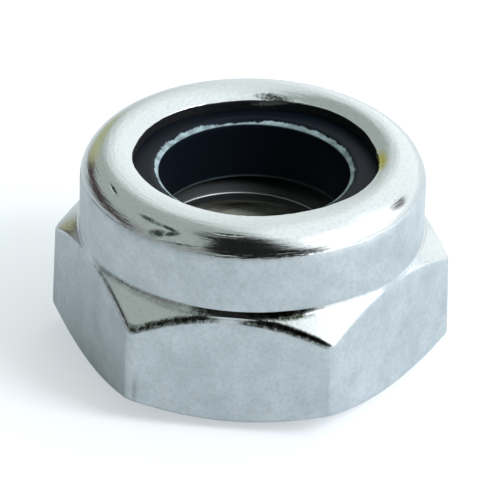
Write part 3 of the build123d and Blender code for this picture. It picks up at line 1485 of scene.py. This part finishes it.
@dataclass(frozen=True)
class Studio:
    """White table in a room with a white wall and a window on the right, a grey wall with a dark skirting
    on the left and no light in front. The room turns with the camera: X is to its right, Y away from it."""

    floor_side: float = 1.2
    floor_drop_mm: float = 0.02
    floor_colour: str = "#BCC1C4"
    floor_glow: Colour = (0.46, 0.48, 0.50)
    # The glow that the metal sees on the table is painted: it brightens over this distance on either side
    # of the nut, and dims in a painted shadow.
    glow_spread: float = 0.05
    shadow_mm: tuple[float, float, float] = (-4.8, -4.6, 0.0)
    shadow_reach_mm: float = 9.0
    shadow_glow: float = 0.5
    light_side_deg: float = 17.0
    flattening: float = 0.2  # of heights, in the compass of the room's directions
    # The edges of the room's dark parts are frayed by this noise.
    wisp_scale: float = 9.0
    wisp_detail: float = 4.0
    wisp_roughness: float = 0.65
    wisp_reach: float = 0.2
    lean: float = 0.52  # how far the dark front's right edge leans with height
    overhead: Ramp = Ramp(0.77, 0.97, 0.0, 0.4)  # heights over which its left edge opens out
    # Colours of light, in which 1 is the white of paper.
    left_wall: Colour = (0.52, 0.57, 0.525)
    right_wall: Tint = Tint((1.38, 1.42, 1.4), (("lit", -0.07, 0.50),))
    window: Tint = Tint(
        (1.95, 1.95, 1.95),
        (("lit", 0.45, 0.62), ("depth", 0.5, 0.3), ("height", 0.87, 0.73), ("height", 0.05, 0.11)),
    )
    dark_front: Tint = Tint(
        (0.014, 0.015, 0.013),
        (("depth", 0.1, -0.25), ("opening", -0.48, -0.38), ("leaning", 0.98, 0.84), ("height", 0.04, 0.11)),
    )
    low_wall: Tint = Tint((0.38, 0.385, 0.36), (("across", -0.30, -0.60), ("height", 0.42, 0.20)))
    skirting: Tint = Tint(
        (0.085, 0.062, 0.064),
        (("frayed", -0.20, -0.35), ("depth", -0.30, 0.0), ("height", -0.02, 0.05), ("height", 0.34, 0.24)),
    )
    patches: tuple[Patch, ...] = (
        Patch(114, 10, 10, 5, (0.58, 0.58, 0.33)),
        Patch(27, 21, 6, 3, (0.16, 0.14, 0.15)),
        Patch(-44, 43, 3.5, 2, (0.10, 0.14, 0.22)),
    )
    softbox_place: tuple[float, float, float] = (0.275, -0.095, 0.244)
    softbox_side: float = 0.16
    softbox_strength: float = 12.0

    def floor(self) -> bpy.types.Object:
        """White table that the nut stands on, with its shadow on it.

        Returns:
            The table.
        """
        plane = bmesh.new()
        bmesh.ops.create_grid(plane, x_segments=1, y_segments=1, size=self.floor_side / 2)
        bmesh.ops.translate(plane, vec=(0, 0, -self.floor_drop_mm * MM), verts=plane.verts)
        mesh = bpy.data.meshes.new("floor")
        plane.to_mesh(mesh)
        plane.free()
        floor = bpy.data.objects.new("floor", mesh)
        bpy.context.scene.collection.objects.link(floor)
        material = bpy.data.materials.new("white_table")
        material.use_nodes = True
        tree = material.node_tree
        tree.nodes.clear()
        ray = add_node(tree, "LightPath").outputs
        mirrored = self.mirrored_glow(tree)
        mirrored = add_node(tree, "Math", TIMES, _0=mirrored, _1=ray["Is Glossy Ray"]).outputs["Value"]
        seen = add_node(tree, "Math", LARGER, _0=mirrored, _1=ray["Is Camera Ray"]).outputs["Value"]
        paper = add_node(tree, "BsdfDiffuse", {"inputs": {"Color": linear(self.floor_colour)}}).outputs[0]
        glow = {"inputs": {"Color": (*self.floor_glow, 1.0)}}
        shine = add_node(tree, "Emission", glow, Strength=seen).outputs[0]
        both = add_node(tree, "AddShader", None, _0=paper, _1=shine).outputs[0]
        add_node(tree, "OutputMaterial", None, Surface=both)
        floor.data.materials.append(material)
        return floor

    def mirrored_glow(self, tree: Tree) -> Socket:
        """Adds the nodes for how bright the metal sees the table, with painted light and a painted shadow.

        Args:
            tree: Node tree to add to.

        Returns:
            The brightness, from 0 to 1.
        """
        place = add_node(tree, "TexCoord").outputs["Object"]
        lit = {"operation": "DOT_PRODUCT", "inputs": {1: compass(self.light_side_deg + CAMERA_TURN_DEG)}}
        towards = add_node(tree, "VectorMath", lit, _0=place).outputs["Value"]
        centre = {"operation": "DISTANCE", "inputs": {1: Vector(self.shadow_mm) * MM}}
        away = add_node(tree, "VectorMath", centre, _0=place).outputs["Value"]
        brightening = Ramp(-self.glow_spread, self.glow_spread)
        leaving_shadow = Ramp(0.0, self.shadow_reach_mm, self.shadow_glow, 1.0, unit=MM)
        glow, shaded = (
            add_node(tree, "MapRange", {"inputs": ramp.inputs}, Value=value).outputs["Result"]
            for ramp, value in ((brightening, towards), (leaving_shadow, away))
        )
        return add_node(tree, "Math", TIMES, _0=glow, _1=shaded).outputs["Value"]

    def measures(self, tree: Tree, ahead: Socket) -> dict[str, Socket]:
        """Adds the nodes that measure a direction.

        Args:
            tree: Node tree to add to.
            ahead: The direction.

        Returns:
            Its measures by the names that the tints use. It points "across", away ("depth") and up
            ("height"). Round the compass it points to the light side ("lit"), and across with ragged edges
            ("frayed"), which lean with height ("leaning") or open out overhead ("opening").
        """
        split = add_node(tree, "SeparateXYZ", None, Vector=ahead).outputs
        height = split["Z"]
        flat = {**TIMES, "inputs": {1: (1.0, 1.0, self.flattening)}}
        flattened = add_node(tree, "VectorMath", flat, _0=ahead).outputs["Vector"]
        around = add_node(tree, "VectorMath", {"operation": "NORMALIZE"}, _0=flattened).outputs["Vector"]
        side = add_node(tree, "SeparateXYZ", None, Vector=around).outputs["X"]
        lit = {"operation": "DOT_PRODUCT", "inputs": {1: compass(self.light_side_deg)}}
        towards = add_node(tree, "VectorMath", lit, _0=around).outputs["Value"]
        ragged = {"Scale": self.wisp_scale, "Detail": self.wisp_detail, "Roughness": self.wisp_roughness}
        wisps = add_node(tree, "TexNoise", {"inputs": ragged}, Vector=ahead).outputs["Fac"]
        reach = {"operation": "MULTIPLY_ADD", "inputs": {1: self.wisp_reach}}
        frayed = add_node(tree, "Math", reach, _0=wisps, _2=side).outputs["Value"]
        reach = {"operation": "MULTIPLY_ADD", "inputs": {1: self.lean}}
        leaning = add_node(tree, "Math", reach, _0=height, _2=frayed).outputs["Value"]
        overhead = add_node(tree, "MapRange", {"inputs": self.overhead.inputs}, Value=height)
        opening = add_node(tree, "Math", PLUS, _0=frayed, _1=overhead.outputs["Result"]).outputs["Value"]
        return {
            "across": split["X"],
            "depth": split["Y"],
            "height": height,
            "lit": towards,
            "frayed": frayed,
            "leaning": leaning,
            "opening": opening,
        }

    def world(self) -> bpy.types.World:
        """Makes the room, as a colour for each direction. The camera sees it as plain white.

        Returns:
            The world.
        """
        world = bpy.data.worlds.new("room")
        bpy.context.scene.world = world
        world.use_nodes = True
        tree = world.node_tree
        tree.nodes.clear()
        turn = {"rotation_type": "Z_AXIS", "inputs": {"Angle": -math.radians(CAMERA_TURN_DEG)}}
        direction = add_node(tree, "TexCoord").outputs["Generated"]
        ahead = add_node(tree, "VectorRotate", turn, Vector=direction).outputs["Vector"]
        measures = self.measures(tree, ahead)
        colour = add_node(tree, "RGB").outputs["Color"]
        colour.default_value = (*self.left_wall, 1.0)
        for tint in (self.right_wall, self.window, self.dark_front, self.low_wall, self.skirting):
            fades = tuple((measures[name], start, full) for name, start, full in tint.fades)
            colour = laid_over(tree, colour, tint.colour, fades)
        for patch in self.patches:
            middle = compass(patch.azimuth_deg, patch.elevation_deg)
            to_middle = {"operation": "DOT_PRODUCT", "inputs": {1: middle}}
            near = add_node(tree, "VectorMath", to_middle, _0=ahead).outputs["Value"]
            outer, inner = patch.radius_deg + patch.blur_deg, patch.radius_deg - patch.blur_deg
            fade = (near, math.cos(math.radians(outer)), math.cos(math.radians(inner)))
            colour = laid_over(tree, colour, patch.colour, (fade,))
        seen = add_node(tree, "LightPath").outputs["Is Camera Ray"]
        colour = laid_over(tree, colour, (1.0, 1.0, 1.0), ((seen, 0.0, 1.0),))
        room = add_node(tree, "Background", None, Color=colour)
        add_node(tree, "OutputWorld", None, Surface=room.outputs[0])
        return world

    def softbox(self) -> bpy.types.Object:
        """Square soft light that faces the nut.

        Returns:
            The lamp.
        """
        light = bpy.data.lights.new("window_softbox", "AREA")
        light.size = self.softbox_side
        light.energy = self.softbox_strength * math.pi * self.softbox_side**2
        lamp = bpy.data.objects.new("window_softbox", light)
        lamp.location = Vector(self.softbox_place)
        lamp.rotation_euler = lamp.location.to_track_quat("Z", "Y").to_euler()
        bpy.context.scene.collection.objects.link(lamp)
        return lamp


@dataclass(frozen=True)
class Viewpoint:
    """Camera close above the front of the nut, a little to one side and slightly rolled."""

    elevation_deg: float = 30.8694
    roll_deg: float = 1.5446
    distance_mm: float = 187.047
    focal_px: float = 5052.62
    target_mm: tuple[float, float, float] = (0.0, 0.0, 3.837)
    offset_px: tuple[float, float] = (1.084, -0.7195)
    sensor_mm: float = 36.0
    clip_start: float = 0.001

    def camera(self) -> bpy.types.Object:
        """Makes the camera and puts it in use.

        Returns:
            The camera.
        """
        lift, turn, roll = (math.radians(a) for a in (self.elevation_deg, CAMERA_TURN_DEG, self.roll_deg))
        ahead = Vector((0, math.cos(lift), -math.sin(lift)))
        level = Vector((1, 0, 0))
        above = Vector((0, math.sin(lift), math.cos(lift)))
        right = math.cos(roll) * level + math.sin(roll) * above
        up = math.cos(roll) * above - math.sin(roll) * level
        mm_per_px = self.distance_mm / self.focal_px
        place = Vector(self.target_mm) - self.distance_mm * ahead
        place -= self.offset_px[0] * mm_per_px * right - self.offset_px[1] * mm_per_px * up
        spin = Matrix.Rotation(turn, 4, "Z")
        basis = Matrix((right, up, -ahead)).transposed().to_4x4()
        data = bpy.data.cameras.new("camera")
        data.sensor_width = self.sensor_mm
        data.lens = self.focal_px * self.sensor_mm / IMAGE_SIDE_PX
        data.clip_start = self.clip_start
        camera = bpy.data.objects.new("camera", data)
        camera.matrix_world = spin @ Matrix.Translation(place * MM) @ basis
        bpy.context.scene.collection.objects.link(camera)
        bpy.context.scene.camera = camera
        return camera


# ---------------------------------------------------------------- assembly


def dress(piece: bpy.types.Object, material: bpy.types.Material, node: str) -> None:
    """Gives a piece its finish and puts it in place of the CAD node that it stands for.

    Args:
        piece: The piece.
        material: Its finish.
        node: Name of the CAD node.
    """
    piece.data.materials.append(material)
    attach(piece, "root")
    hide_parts(node)
    LOG.info("%s: %d faces", piece.name, len(piece.data.polygons))


def main() -> None:
    """Builds the nut, the studio and the camera."""
    logging.basicConfig(level=logging.INFO, format="%(name)s %(message)s")
    body = SteelBody()
    ring = NylonRing(body)
    dress(body.build(), BrightZincPlate().build(), "nut_body")
    dress(ring.build(), MouldedNylon(ring).build(), "nylon_insert")
    studio = Studio()
    studio.floor()
    studio.world()
    studio.softbox()
    Viewpoint().camera()
    bpy.context.scene.view_settings.view_transform = "Standard"


if __name__ == "__main__":
    main()
